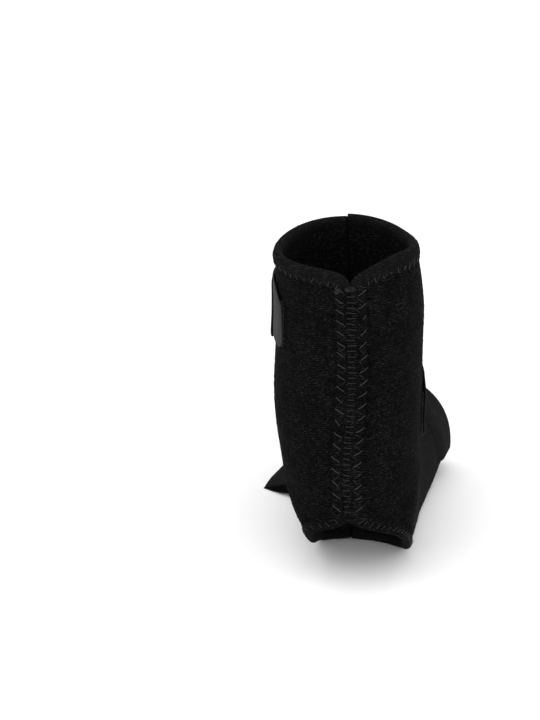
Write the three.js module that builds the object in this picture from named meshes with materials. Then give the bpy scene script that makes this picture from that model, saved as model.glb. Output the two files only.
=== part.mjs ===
// Ankle brace: open-heel wrap support of thick knit-faced foam, standing on its sole.
// Millimetres, +Z up, +Y towards the toes, +X to the outer (lateral) side of a right foot.
import * as THREE from 'three';
import { mergeVertices } from 'three/addons/utils/BufferGeometryUtils.js';

// Driving sizes
const HEIGHT = 190;
const REACH = 150;
const ANKLE_WIDTH = 80;
const FOOT_WIDTH = 94;
const WALL = 4.2;
const HEM = 5.4;
const HEM_BAND = 5;
const HEM_EASE = 2;
const EDGE_LEAST = 0.3;
const GAP = 0.45;
const WRAP_GAP = 0.5;
const TAPE_GAP = 0.55;
const JOIN_GAP = 0.3;
const FRONT_GAP = 1.2;
const STRAP_WIDTH = 40;
const STRAP_THICK = 1.5;
const STRAP_CORNER = 6;
const TAB_LENGTH = 32;
const TAB_THICK = 0.9;
const TAB_WIDTH = 35;
const TAB_LAP = 8;
const TAB_RAMP = 9;
const TAB_CORNER = 6;
const TAB_CHAMFER = 9;
const WRAP_THICK = 2.8;
const FLAP_LIFT = 0.3;
const TAPE_WIDTH = 7;
const TAPE_THICK = 0.9;
const NOTCH_DEPTH = 7.6;
const NOTCH_HALF = 9;
const NOTCH_TIP = 2.2;
const NOTCH_SHARP = 0.55;
const OUTER_RISE = 6.5;
const RISE_RUN = 30;
const HOLE_HEIGHT = 40;
const HOLE_SLANT = 0.92;
const HOLE_PEAK = 6.4;
const PEAK_HALF = 9;
const HOLE_TONGUE = 5;
const HOLE_EASE = 0.35;
const HOLE_HALF_WIDTH = 28;

// One row per section line, from the leg opening round the heel to the toe opening.
// backY and frontY are shares of REACH, backZ and frontZ of HEIGHT, centre and seam of ANKLE_WIDTH.
// foot blends ANKLE_WIDTH (0) into FOOT_WIDTH (1); outer and inner are shares of the blend.
// wideOut and wideIn place the widest point along the line; back and front are roundness exponents.
const COLUMNS = [
  'backY', 'backZ', 'frontY', 'frontZ', 'centre', 'foot', 'outer', 'inner', 'wideOut', 'wideIn', 'back', 'front', 'seam',
];
const SECTIONS = [
  [0.100, 0.984, 0.640, 0.968, -0.054, 0, 0.470, 0.478, 0.36, 0.36, 2.05, 1.95, 0.026],
  [0.093, 0.842, 0.633, 0.842, -0.040, 0, 0.498, 0.477, 0.40, 0.40, 2.05, 1.95, 0.026],
  [0.080, 0.695, 0.627, 0.716, -0.028, 0, 0.496, 0.490, 0.45, 0.45, 2.10, 2.00, 0.028],
  [0.067, 0.547, 0.633, 0.600, -0.022, 0, 0.498, 0.508, 0.47, 0.47, 2.20, 2.05, 0.013],
  [0.037, 0.400, 0.660, 0.516, -0.006, 0, 0.484, 0.512, 0.50, 0.50, 2.30, 2.05, -0.019],
  [0.003, 0.242, 0.700, 0.458, 0.027, 0, 0.459, 0.504, 0.48, 0.50, 2.30, 2.10, -0.033],
  [-0.013, 0.163, 0.740, 0.432, 0.047, 0, 0.431, 0.500, 0.42, 0.52, 2.30, 2.10, -0.045],
  [0.027, 0.079, 0.780, 0.405, 0.060, 0, 0.412, 0.462, 0.40, 0.55, 2.30, 2.10, -0.055],
  [0.150, -0.016, 0.813, 0.384, 0.063, 0, 0.416, 0.412, 0.36, 0.58, 2.30, 2.15, -0.060],
  [0.413, -0.032, 0.847, 0.368, 0.075, 0.30, 0.420, 0.385, 0.31, 0.46, 2.60, 2.20, -0.060],
  [0.600, -0.032, 0.873, 0.353, 0.094, 0.58, 0.441, 0.396, 0.31, 0.38, 2.90, 2.25, -0.060],
  [0.780, -0.032, 0.907, 0.337, 0.125, 0.80, 0.462, 0.394, 0.33, 0.36, 2.80, 2.30, -0.060],
  [1.000, -0.032, 0.940, 0.321, 0.163, 1, 0.486, 0.404, 0.36, 0.36, 2.60, 2.35, -0.060],
];
const HOLE_START = 5;
const HOLE_END = 9;
const LAST = SECTIONS.length - 1;
const FLOOR_BLEND = 3.5;
const ARC_SAMPLES = 160;
const RIM_STEP = 0.5;
const SLOPE_SECTION = 0.03;
const SLOPE_LENGTH = 0.8;

// Straps and tabs: heights of their middle as section numbers, reach as shares of a half round
// from the front (positive on the outer side, negative on the inner side).
const STRAPS = [
  { name: 'ankle_strap', from: 0.42, to: -0.49, middleFrom: 1.32, middleTo: 1.49, tab: 'hook_tab', tabDrop: -0.19 },
  { name: 'lower_strap', from: -0.38, to: 0.37, middleFrom: 3.55, middleTo: 3.74, tab: 'side_hook_tab', tabDrop: 0 },
];
const WRAP = { rear: 9.95, toe: 11.72, slant: 1, from: 0.57, leave: -0.66 };
const FLAP = { rearX: -0.64, toeX: -0.46, rearY: 0.745, toeY: 0.955, reach: 0.45 };

const lerp = (a, b, f) => a + (b - a) * f;
const clamp01 = (x) => Math.min(Math.max(x, 0), 1);
const smooth = (x) => clamp01(x) ** 2 * (3 - 2 * clamp01(x));

// Smooth value of one table column between the rows.
function column(index, t) {
  const i = Math.min(Math.max(Math.floor(t), 0), LAST - 1);
  const f = t - i;
  const value = (row) => SECTIONS[Math.min(Math.max(row, 0), LAST)][index];
  const a = value(i);
  const b = value(i + 1);
  const slopeA = i === 0 ? b - a : (b - value(i - 1)) / 2;
  const slopeB = i === LAST - 1 ? b - a : (value(i + 2) - a) / 2;
  const f2 = f * f;
  const f3 = f2 * f;
  return (2 * f3 - 3 * f2 + 1) * a + (f3 - 2 * f2 + f) * slopeA
    + (3 * f2 - 2 * f3) * b + (f3 - f2) * slopeB;
}

function sizesAt(t) {
  const row = {};
  COLUMNS.forEach((name, index) => {
    row[name] = column(index, t);
  });
  const width = lerp(ANKLE_WIDTH, FOOT_WIDTH, row.foot);
  return {
    by: row.backY * REACH,
    bz: row.backZ * HEIGHT,
    fy: row.frontY * REACH,
    fz: row.frontZ * HEIGHT,
    cx: row.centre * ANKLE_WIDTH,
    seam: row.seam * ANKLE_WIDTH,
    half: [row.inner * width, row.outer * width],
    wide: [row.wideIn, row.wideOut],
    back: row.back,
    front: row.front,
  };
}

// The sole is pressed flat on the floor.
function pressed(z) {
  if (z < -FLOOR_BLEND) return 0;
  if (z > FLOOR_BLEND) return z;
  return (z + FLOOR_BLEND) ** 2 / (4 * FLOOR_BLEND);
}

// Half of one section loop, from the back point to the front point.
function halfPoints(r, side) {
  const points = [];
  const which = side > 0 ? 1 : 0;
  const k = r.wide[which];
  for (let i = 0; i <= ARC_SAMPLES; i += 1) {
    const angle = (Math.PI * i) / ARC_SAMPLES;
    const inBack = angle <= Math.PI / 2;
    const power = 2 / (inBack ? r.back : r.front);
    const c = Math.abs(Math.cos(angle)) ** power;
    const s = Math.sin(angle) < 1e-9 ? 0 : Math.sin(angle) ** power;
    const w = inBack ? k * (1 - c) : k + (1 - k) * c;
    const z = pressed(lerp(r.bz, r.fz, w));
    points.push(new THREE.Vector3(side * r.half[which] * s + r.cx, lerp(r.by, r.fy, w), z));
  }
  return points;
}

// Positive outside the heel hole; zero on its rim.
function holeLevel(p, seamX) {
  const onSole = smooth((p.y / REACH - 0.17) / 0.13);
  const x = p.x - seamX;
  const peak = HOLE_PEAK * Math.exp(-Math.abs(x) / PEAK_HALF);
  const tongue = HOLE_TONGUE * (1 - (x / HOLE_HALF_WIDTH) ** 2);
  const late = Math.max(p.y - 0.173 * REACH, 0);
  const y = p.y - (HOLE_EASE * late ** 2) / (late + 0.067 * REACH);
  return p.z + HOLE_SLANT * y - HOLE_HEIGHT - lerp(peak, tongue, onSole);
}

const loopCache = new Map();

// Both halves of a loop as one line with lengths measured from the seam.
function loop(t) {
  if (loopCache.has(t)) return loopCache.get(t);
  const r = sizesAt(t);
  const inner = halfPoints(r, -1);
  const outer = halfPoints(r, 1);
  const points = [...inner.slice(1).reverse(), ...outer];
  const along = [0];
  for (let i = 1; i < points.length; i += 1) {
    along.push(along[i - 1] + points[i].distanceTo(points[i - 1]));
  }
  const zero = along[ARC_SAMPLES] + r.seam;
  const line = { points, along: along.map((d) => d - zero) };
  line.seamX = pointOn(line, 0).x;
  line.start = [1, -1].map((side) => rimStart(line, t, side));
  line.end = [line.along[line.along.length - 1], -line.along[0]];
  loopCache.set(t, line);
  return line;
}

function pointOn(line, d) {
  const { points, along } = line;
  let low = 0;
  let high = along.length - 1;
  while (high - low > 1) {
    const middle = (low + high) >> 1;
    if (along[middle] <= d) low = middle;
    else high = middle;
  }
  const f = (d - along[low]) / (along[high] - along[low]);
  return points[low].clone().lerp(points[high], f);
}

// Length from the seam to the heel hole's rim on one side.
function rimStart(line, t, side) {
  if (t <= HOLE_START || t >= HOLE_END) return 0;
  const step = RIM_STEP;
  let d = 0;
  while (d < FOOT_WIDTH && holeLevel(pointOn(line, side * d), line.seamX) < 0) d += step;
  if (d === 0) return 0;
  let low = d - step;
  let high = d;
  for (let i = 0; i < 20; i += 1) {
    const middle = (low + high) / 2;
    if (holeLevel(pointOn(line, side * middle), line.seamX) < 0) low = middle;
    else high = middle;
  }
  return high;
}

// Surface point: section t, side (1 outer, -1 inner), d = length from the seam or the hole's rim.
function surface(t, side, d) {
  const line = loop(t);
  const start = line.start[side > 0 ? 0 : 1];
  return pointOn(line, side * (start + d));
}

function halfLength(t, side) {
  const line = loop(t);
  const which = side > 0 ? 0 : 1;
  return line.end[which] - line.start[which];
}

// Outward direction of the section surface at a length from the seam.
function outward(t, d) {
  const down = pointOn(loop(t + SLOPE_SECTION), d).sub(pointOn(loop(t - SLOPE_SECTION), d));
  const round = pointOn(loop(t), d + SLOPE_LENGTH).sub(pointOn(loop(t), d - SLOPE_LENGTH));
  return down.cross(round).normalize();
}

// Surface point by share of the half round from the front centre line.
function fromFront(t, share) {
  const side = share >= 0 ? 1 : -1;
  return surface(t, side, halfLength(t, side) * (1 - Math.abs(share)));
}

// Half thickness near an edge: rounded end, then a band, then the plain wall.
function edgeHalf(d, band, wall) {
  const r = band / 2;
  const round = d < r ? Math.sqrt(Math.max(r * r - (r - d) ** 2, 0)) : r;
  const ease = smooth((d - HEM_BAND) / HEM_EASE);
  return Math.max(lerp(round, wall / 2, ease), EDGE_LEAST);
}

// Closed body from a grid of points and offsets below and above it.
// The offsets follow the given normals, or else the grid's own.
function sheet(name, material, grid, offsets, side, normals) {
  const rows = grid.length;
  const cols = grid[0].length;
  const low = [];
  const high = [];
  for (let i = 0; i < rows; i += 1) {
    for (let j = 0; j < cols; j += 1) {
      const a = grid[Math.min(i + 1, rows - 1)][j].clone().sub(grid[Math.max(i - 1, 0)][j]);
      const b = grid[i][Math.min(j + 1, cols - 1)].clone().sub(grid[i][Math.max(j - 1, 0)]);
      const normal = normals ? normals[i][j] : a.cross(b).normalize().multiplyScalar(side);
      const [below, above] = offsets(i, j);
      low.push(grid[i][j].clone().addScaledVector(normal, below));
      high.push(grid[i][j].clone().addScaledVector(normal, above));
    }
  }
  const all = [...high, ...low];
  const positions = all.flatMap((p) => [p.x, p.y, p.z]);
  const count = rows * cols;
  const faces = [];
  const quad = (a, b, c, d) => {
    const shortWay = all[a].distanceTo(all[c]) <= all[b].distanceTo(all[d]);
    const pair = shortWay ? [a, b, c, a, c, d] : [a, b, d, b, c, d];
    if (side < 0) pair.reverse();
    faces.push(...pair);
  };
  for (let i = 0; i < rows - 1; i += 1) {
    for (let j = 0; j < cols - 1; j += 1) {
      const a = i * cols + j;
      quad(a, a + cols, a + cols + 1, a + 1);
      quad(count + a, count + a + 1, count + a + cols + 1, count + a + cols);
    }
  }
  for (let j = 0; j < cols - 1; j += 1) {
    const last = (rows - 1) * cols + j;
    quad(j, j + 1, count + j + 1, count + j);
    quad(last, count + last, count + last + 1, last + 1);
  }
  for (let i = 0; i < rows - 1; i += 1) {
    const first = i * cols;
    const end = first + cols - 1;
    quad(first, count + first, count + first + cols, first + cols);
    quad(end, end + cols, count + end + cols, count + end);
  }
  const geometry = new THREE.BufferGeometry();
  geometry.setAttribute('position', new THREE.Float32BufferAttribute(positions, 3));
  geometry.setIndex(faces);
  const welded = mergeVertices(geometry, 1e-4);
  welded.computeVertexNormals();
  const mesh = new THREE.Mesh(welded, material);
  mesh.name = name;
  return mesh;
}

const cloth = (name, color, roughness) => {
  const material = new THREE.MeshStandardMaterial({ color, roughness, metalness: 0 });
  material.name = name;
  return material;
};
const PILE = cloth('black loop-faced foam', 0x17171a, 0.95);
const TAPE = cloth('seam thread', 0x242427, 0.85);
const STRAP = cloth('black strap', 0x151517, 0.9);
const HOOK = cloth('grey hook tape', 0x44464a, 0.7);
const WRAP_CLOTH = cloth('smooth black stretch cloth', 0x1f1f22, 0.85);

// Top edge: dips to the seam in a notch and stands higher on the outer back quarter.
function topDrop(side, share, length) {
  const d = share * length;
  const tip = NOTCH_SHARP * Math.exp(-d / NOTCH_TIP);
  const notch = NOTCH_DEPTH * (tip + (1 - NOTCH_SHARP) * Math.exp(-((d / NOTCH_HALF) ** 1.3)));
  const rise = side > 0 ? OUTER_RISE * smooth(d / RISE_RUN) * (1 - 0.75 * smooth((share - 0.3) / 0.4)) : 0;
  return notch - rise;
}

const TOP_SPACING = 0.142 * HEIGHT;
const TOE_SPACING = 0.22 * REACH;
const HEM_STEPS = [0, 0.7, 1.8, 3.1, 5, 7];
const EDGE_STEPS = [0, 0.6, 1.4, 2.1];

// Section numbers of the panel's rows; the first ones are lengths below the top edge.
function panelRows() {
  const rows = HEM_STEPS.map((d) => d / TOP_SPACING);
  rows.push(0.6, 1, 1.5, 2, 2.5, 3, 3.5, 4, 4.35, 4.62, 4.8, 4.88, 4.95, 5);
  rows.push(5.06, 5.15, 5.27, 5.43, 5.65, 5.95, 6.35, 6.8, 7.3, 7.8, 8.25, 8.55, 8.73, 8.86);
  rows.push(8.95, 9, 9.1, 9.3, 9.6, 10, 10.4, 10.8, 11.2, 11.6);
  EDGE_STEPS.slice().reverse().forEach((d) => rows.push(LAST - d / TOE_SPACING));
  return rows;
}

function panelColumns(length) {
  const inner = HEM_STEPS.map((d) => d + JOIN_GAP / 2);
  const outer = EDGE_STEPS.map((d) => length - FRONT_GAP / 2 - d).reverse();
  const middle = [];
  const steps = 9;
  for (let i = 1; i < steps; i += 1) {
    middle.push(lerp(inner[inner.length - 1], outer[0], i / steps));
  }
  return [...inner, ...middle, ...outer];
}

function panelSection(side, row, share, length) {
  if (row >= 1) return row;
  const drop = topDrop(side, share, length) / TOP_SPACING;
  return drop + row * (1 - drop);
}

// The heel hole's rim as a closed run of points.
const RIM_STEPS = 70;
const rimPoints = [];
for (let i = 0; i <= RIM_STEPS; i += 1) {
  const t = lerp(HOLE_START, HOLE_END, (1 - Math.cos((Math.PI * i) / RIM_STEPS)) / 2);
  rimPoints.push(surface(t, 1, 0));
  rimPoints.unshift(surface(t, -1, 0));
}
const rimSpans = rimPoints.slice(1).map((end, i) => new THREE.Line3(rimPoints[i], end));

function holeDistance(p) {
  const near = new THREE.Vector3();
  return Math.min(...rimSpans.map((span) => span.closestPointToPoint(p, true, near).distanceTo(p)));
}

// How far the panel's faces stand from the section surface at one place.
function panelOffsets(side, t, d, topDistance) {
  const length = halfLength(t, side);
  const hole = holeDistance(surface(t, side, d));
  const rimmed = edgeHalf(Math.min(topDistance, hole), HEM, WALL);
  const front = length - FRONT_GAP / 2 - d;
  const toe = (LAST - t) * TOE_SPACING;
  const plain = edgeHalf(Math.min(front, toe), WALL, WALL);
  const half = Math.min(rimmed, plain > WALL / 2 - 1e-6 ? rimmed : plain);
  return [-WALL / 2 - half, -WALL / 2 + half];
}

function panel(name, side) {
  const rows = panelRows();
  const places = rows.map((row) => {
    const roughLength = halfLength(Math.max(row, 0), side);
    return panelColumns(roughLength).map((d) => {
      const t = panelSection(side, row, d / roughLength, roughLength);
      const length = halfLength(t, side);
      return { t, d: (d / roughLength) * length, top: row * TOP_SPACING };
    });
  });
  const grid = places.map((line) => line.map((q) => surface(q.t, side, q.d)));
  const normals = places.map((line) => line.map((q) => {
    const start = loop(q.t).start[side > 0 ? 0 : 1];
    return outward(q.t, side * (start + q.d));
  }));
  const offsets = (i, j) => {
    const q = places[i][j];
    const [low, high] = panelOffsets(side, q.t, q.d, q.top);
    const down = -normals[i][j].z;
    const room = down > 0.02 ? grid[i][j].z / down : HEM;
    return [low, Math.min(high, room)];
  };
  return sheet(name, PILE, grid, offsets, side, normals);
}

// Outer face of the panel above the section surface, for what is sewn over it.
function faceHeight(side, t, d) {
  return panelOffsets(side, t, d, t * TOP_SPACING)[1];
}

const TAPE_ROWS = 22;
const TAPE_FROM = 0.55;
const TAPE_TO = 4.84;

function seamTape() {
  const rows = [];
  for (let i = 0; i <= TAPE_ROWS; i += 1) rows.push(lerp(TAPE_FROM, TAPE_TO, i / TAPE_ROWS));
  const across = [-1, -0.6, 0, 0.6, 1];
  const place = (t, a) => [t, a < 0 ? -1 : 1, (Math.abs(a) * TAPE_WIDTH) / 2];
  const grid = rows.map((t) => across.map((a) => surface(...place(t, a))));
  const offsets = (i, j) => {
    const [t, side, d] = place(rows[i], across[j]);
    const base = faceHeight(side, t, Math.max(d, JOIN_GAP / 2)) + TAPE_GAP;
    const thin = Math.abs(across[j]) === 1 ? 0.5 : 1;
    return [base, base + TAPE_THICK * thin];
  };
  return sheet('back_seam', TAPE, grid, offsets, 1);
}

// Section number reached by walking a length up (negative) or down (positive) from t0.
function walk(t0, share, distance) {
  const step = distance < 0 ? -0.04 : 0.04;
  const goal = Math.abs(distance);
  let t = t0;
  let done = 0;
  let last = fromFront(t, share);
  while (done < goal) {
    const next = fromFront(t + step, share);
    const piece = next.distanceTo(last);
    if (done + piece >= goal) return t + (step * (goal - done)) / piece;
    done += piece;
    t += step;
    last = next;
  }
  return t;
}

const SHARES = (from, to, steps) => Array.from({ length: steps + 1 }, (_, i) => lerp(from, to, i / steps));
const ACROSS = [-1, -0.95, -0.6, 0, 0.6, 0.95, 1];
const STRAP_END = [0, 0.17, 0.42, 0.83];
const TAB_END = [1, 0.6, 0.3, 0.1, 0];
const EDGE_CUT = 0.28;

// A band of cloth laid on the brace between two shares of the round.
function bandGrid(shares, middle, half) {
  return ACROSS.map((a) => shares.map((share, j) => {
    const t = walk(middle(j), share, a * half(j, a));
    return fromFront(t, share);
  }));
}

function bandOffsets(low, thick) {
  return (i, j) => {
    const edge = Math.abs(ACROSS[i]) === 1 ? EDGE_CUT : 0;
    return [low(j) + edge * thick, low(j) + thick * (1 - edge)];
  };
}

// Half the width near a cut end whose corner is round, or else cut off straight.
function endHalf(full, left, corner, straight) {
  if (left >= corner) return full / 2;
  const f = 1 - left / corner;
  const cut = straight ? f : 1 - Math.sqrt(Math.max(1 - f * f, 0));
  return full / 2 - corner * cut;
}

function shareLength(t, share) {
  return halfLength(t, share >= 0 ? 1 : -1);
}

function strapAndTab(spec) {
  const way = Math.sign(spec.to - spec.from);
  const perShare = shareLength(spec.middleTo, spec.to);
  const steps = 18;
  const ends = STRAP_END.map((share) => (share * STRAP_CORNER) / perShare);
  const body = SHARES(spec.from, spec.to - way * ends[3], steps);
  const shares = [...body, ...ends.slice(0, 3).reverse().map((s) => spec.to - way * s)];
  const middleAt = (share) => lerp(spec.middleFrom, spec.middleTo, (share - spec.from) / (spec.to - spec.from));
  const left = (j) => Math.abs(spec.to - shares[j]) * perShare;
  const strapHalf = (j) => endHalf(STRAP_WIDTH, left(j), STRAP_CORNER, false);
  const lift = (j) => GAP + (TAB_THICK + GAP) * smooth((TAB_LAP + TAB_RAMP - left(j)) / (TAB_RAMP - 1));
  const strapGrid = bandGrid(shares, (j) => middleAt(shares[j]), strapHalf);
  const strap = sheet(spec.name, STRAP, strapGrid, bandOffsets(lift, STRAP_THICK), -way);
  const tabStart = spec.to - (way * TAB_LAP) / perShare;
  const tabEnd = spec.to + (way * (TAB_LENGTH - TAB_LAP)) / perShare;
  const tabShares = [
    ...SHARES(tabStart, tabEnd - (way * TAB_CHAMFER) / perShare, 8),
    ...TAB_END.map((share) => tabEnd - (way * share * TAB_CORNER) / perShare),
  ];
  const tabLeft = (j) => Math.abs(tabEnd - tabShares[j]) * perShare;
  const tabHalf = (j, a) => endHalf(TAB_WIDTH, tabLeft(j), a < 0 ? TAB_CHAMFER : TAB_CORNER, a < 0);
  const tabGrid = bandGrid(tabShares, () => spec.middleTo + spec.tabDrop, tabHalf);
  const tab = sheet(spec.tab, HOOK, tabGrid, bandOffsets(() => GAP, TAB_THICK), -way);
  return [strap, tab];
}

// Rows across the wrap from its thin rear edge to its toe edge, with shares of its thickness.
const WRAP_ROWS = [
  { across: 0, from: 0, to: 0.3 },
  { across: 0.04, from: 0, to: 0.42 },
  { across: 0.14, from: 0, to: 0.75 },
  { across: 0.3, from: 0, to: 1 },
  { across: 0.65, from: 0, to: 1 },
  { across: 0.88, from: 0, to: 1 },
  { across: 0.97, from: 0, to: 1 },
  { across: 1, from: 0.28, to: 0.72 },
];

// Band round the foot that leaves the inner side and flares to the floor.
function footWrap() {
  const rows = WRAP_ROWS.map((row) => row.across);
  const shares = SHARES(WRAP.from, WRAP.leave, 30);
  const rearAt = (share) => WRAP.rear + WRAP.slant * smooth((share - 0.15) / 0.45);
  const grid = rows.map((f) => {
    const points = shares.map((share) => fromFront(lerp(rearAt(share), WRAP.toe, f), share));
    const last = points[points.length - 1].clone();
    const before = points[points.length - 3];
    const way = last.clone().sub(before).normalize();
    const endX = lerp(FLAP.rearX, FLAP.toeX, f) * ANKLE_WIDTH;
    const end = new THREE.Vector3(endX, lerp(FLAP.rearY, FLAP.toeY, f) * REACH, FLAP_LIFT - WRAP_GAP);
    const handle = last.clone().addScaledVector(way, last.distanceTo(end) * FLAP.reach);
    for (let i = 1; i <= 7; i += 1) {
      const s = i / 7;
      const p = last.clone().multiplyScalar((1 - s) ** 2);
      p.addScaledVector(handle, 2 * s * (1 - s));
      p.addScaledVector(end, s * s);
      points.push(p);
    }
    return points;
  });
  const offsets = (i) => [WRAP_GAP + WRAP_ROWS[i].from * WRAP_THICK, WRAP_GAP + WRAP_ROWS[i].to * WRAP_THICK];
  return sheet('foot_wrap', WRAP_CLOTH, grid, offsets, 1);
}

function centredOnFloor(group) {
  const box = new THREE.Box3().setFromObject(group);
  const shift = new THREE.Vector3(-(box.min.x + box.max.x) / 2, -(box.min.y + box.max.y) / 2, -box.min.z);
  group.children.forEach((mesh) => mesh.geometry.translate(shift.x, shift.y, shift.z));
  group.userData.shift = shift.toArray();
  return group;
}

const group = new THREE.Group();
group.name = 'ankle_brace';
group.add(panel('outer_panel', 1));
group.add(panel('inner_panel', -1));
group.add(seamTape());
STRAPS.forEach((spec) => strapAndTab(spec).forEach((mesh) => group.add(mesh)));
group.add(footWrap());
centredOnFloor(group);

export default group;
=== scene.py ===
# %% [markdown]
# # An open-heel ankle brace
# The brace is two halves of foam with looped knit on both faces, joined by a flat seam at the back.
# Two straps close the front and a smooth band goes round the foot.
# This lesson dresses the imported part: it gives each plain solid its cloth, stitches and light.

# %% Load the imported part
import math

import bpy
import numpy as np
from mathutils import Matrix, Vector
from mathutils.bvhtree import BVHTree


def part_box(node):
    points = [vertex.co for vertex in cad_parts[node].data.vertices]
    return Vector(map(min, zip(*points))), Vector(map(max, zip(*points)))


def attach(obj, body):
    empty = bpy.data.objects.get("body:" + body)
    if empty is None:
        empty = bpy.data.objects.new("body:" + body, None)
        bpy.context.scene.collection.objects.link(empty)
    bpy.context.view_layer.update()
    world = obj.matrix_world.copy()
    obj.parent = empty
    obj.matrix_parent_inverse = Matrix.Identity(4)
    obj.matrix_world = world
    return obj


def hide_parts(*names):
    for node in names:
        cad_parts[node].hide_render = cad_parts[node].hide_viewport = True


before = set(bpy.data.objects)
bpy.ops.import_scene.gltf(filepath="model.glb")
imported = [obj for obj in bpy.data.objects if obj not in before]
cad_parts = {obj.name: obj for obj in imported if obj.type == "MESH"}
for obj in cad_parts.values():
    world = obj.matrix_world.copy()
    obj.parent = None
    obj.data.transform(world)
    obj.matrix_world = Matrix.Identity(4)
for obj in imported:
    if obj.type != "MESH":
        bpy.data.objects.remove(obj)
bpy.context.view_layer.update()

MM = 0.001
print("packed nodes:", sorted(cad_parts))

# %% [markdown]
# ## The shape of the cloth
# Every piece lies on one surface, so the surface is described once.
# Sculpting it by hand would be hard to repeat, and a cloth simulation would drift from the part.
# Here it is a stack of rounded loops: each row of a short table says where one loop's back and front lie,
# how wide it is and how round.
# The loops start level at the leg, fan round the heel and end upright at the toes.

# %% Sizes and the table of section loops
HEIGHT = 190.0
REACH = 150.0
ANKLE_WIDTH = 80.0
FOOT_WIDTH = 94.0
WALL = 4.2
HEM = 5.4
HEM_BAND = 5.0
GAP = 0.45
WRAP_GAP = 0.5
STRAP_WIDTH = 40.0
STRAP_THICK = 1.5
TAB_THICK = 0.9
TAB_WIDTH = 35.0
TAB_LAP = 8.0
WRAP_THICK = 2.8
NOTCH_DEPTH = 7.6
NOTCH_HALF = 9.0
NOTCH_TIP = 2.2
NOTCH_SHARP = 0.55
OUTER_RISE = 6.5
RISE_RUN = 30.0
HOLE_HEIGHT = 40.0
HOLE_SLANT = 0.92
HOLE_PEAK = 6.4
PEAK_HALF = 9.0
HOLE_TONGUE = 5.0
HOLE_EASE = 0.35
HOLE_HALF_WIDTH = 28.0
HOLE_SOLE, HOLE_SOLE_RUN = 0.17, 0.13
HOLE_LATE, HOLE_LATE_RUN = 0.173, 0.067
HOLE_START = 5
HOLE_END = 9
FLOOR_BLEND = 3.5
TOP_SPACING = 0.142 * HEIGHT
TOE_SPACING = 0.22 * REACH

COLUMNS = ["back_y", "back_z", "front_y", "front_z", "centre", "foot", "outer", "inner",
           "wide_out", "wide_in", "back", "front", "seam"]
SECTIONS = np.array([
    [0.100, 0.984, 0.640, 0.968, -0.054, 0, 0.470, 0.478, 0.36, 0.36, 2.05, 1.95, 0.026],
    [0.093, 0.842, 0.633, 0.842, -0.040, 0, 0.498, 0.477, 0.40, 0.40, 2.05, 1.95, 0.026],
    [0.080, 0.695, 0.627, 0.716, -0.028, 0, 0.496, 0.490, 0.45, 0.45, 2.10, 2.00, 0.028],
    [0.067, 0.547, 0.633, 0.600, -0.022, 0, 0.498, 0.508, 0.47, 0.47, 2.20, 2.05, 0.013],
    [0.037, 0.400, 0.660, 0.516, -0.006, 0, 0.484, 0.512, 0.50, 0.50, 2.30, 2.05, -0.019],
    [0.003, 0.242, 0.700, 0.458, 0.027, 0, 0.459, 0.504, 0.48, 0.50, 2.30, 2.10, -0.033],
    [-0.013, 0.163, 0.740, 0.432, 0.047, 0, 0.431, 0.500, 0.42, 0.52, 2.30, 2.10, -0.045],
    [0.027, 0.079, 0.780, 0.405, 0.060, 0, 0.412, 0.462, 0.40, 0.55, 2.30, 2.10, -0.055],
    [0.150, -0.016, 0.813, 0.384, 0.063, 0, 0.416, 0.412, 0.36, 0.58, 2.30, 2.15, -0.060],
    [0.413, -0.032, 0.847, 0.368, 0.075, 0.30, 0.420, 0.385, 0.31, 0.46, 2.60, 2.20, -0.060],
    [0.600, -0.032, 0.873, 0.353, 0.094, 0.58, 0.441, 0.396, 0.31, 0.38, 2.90, 2.25, -0.060],
    [0.780, -0.032, 0.907, 0.337, 0.125, 0.80, 0.462, 0.394, 0.33, 0.36, 2.80, 2.30, -0.060],
    [1.000, -0.032, 0.940, 0.321, 0.163, 1, 0.486, 0.404, 0.36, 0.36, 2.60, 2.35, -0.060],
])
LAST = len(SECTIONS) - 1
OUTER, INNER = 1, -1
print("section loops:", len(SECTIONS))

# %% [markdown]
# ## From the table to points
# A smooth curve runs through each column, so a loop can be made at any height between two rows.
# A loop is two halves of a superellipse: a circle whose corners one number makes fuller or flatter.
# The sole is pressed flat on the floor, with a soft start so that no crease shows.

# %% Loops between the rows
def smooth(x):
    x = np.clip(x, 0, 1)
    return x * x * (3 - 2 * x)


def lerp(a, b, f):
    return a + (b - a) * f


def hump(x, at, width):
    """One where x is at its place, falling softly to nothing on both sides."""
    return np.exp(-(((x - at) / width) ** 2))


def run_along(points):
    """The length of a line from its first point to each point."""
    return np.r_[0, np.cumsum(np.linalg.norm(np.diff(points, axis=0), axis=1))]


def point_at(where, run, line):
    """Points on a line at the given lengths."""
    return np.stack([np.interp(where, run, line[:, k]) for k in range(3)], -1)


def unit(v):
    return v / np.maximum(np.linalg.norm(v, axis=-1, keepdims=True), 1e-9)


def table_row(t):
    i = int(min(max(math.floor(t), 0), LAST - 1))
    f = t - i
    rows = [SECTIONS[min(max(i + k, 0), LAST)] for k in (-1, 0, 1, 2)]
    before, here, after, later = rows
    slope_here = after - here if i == 0 else (after - before) / 2
    slope_after = after - here if i == LAST - 1 else (later - here) / 2
    f2, f3 = f * f, f * f * f
    values = ((2 * f3 - 3 * f2 + 1) * here + (f3 - 2 * f2 + f) * slope_here
              + (3 * f2 - 2 * f3) * after + (f3 - f2) * slope_after)
    return dict(zip(COLUMNS, values))


def pressed(z):
    soft = (z + FLOOR_BLEND) ** 2 / (4 * FLOOR_BLEND)
    return np.where(z < -FLOOR_BLEND, 0, np.where(z > FLOOR_BLEND, z, soft))


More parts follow.
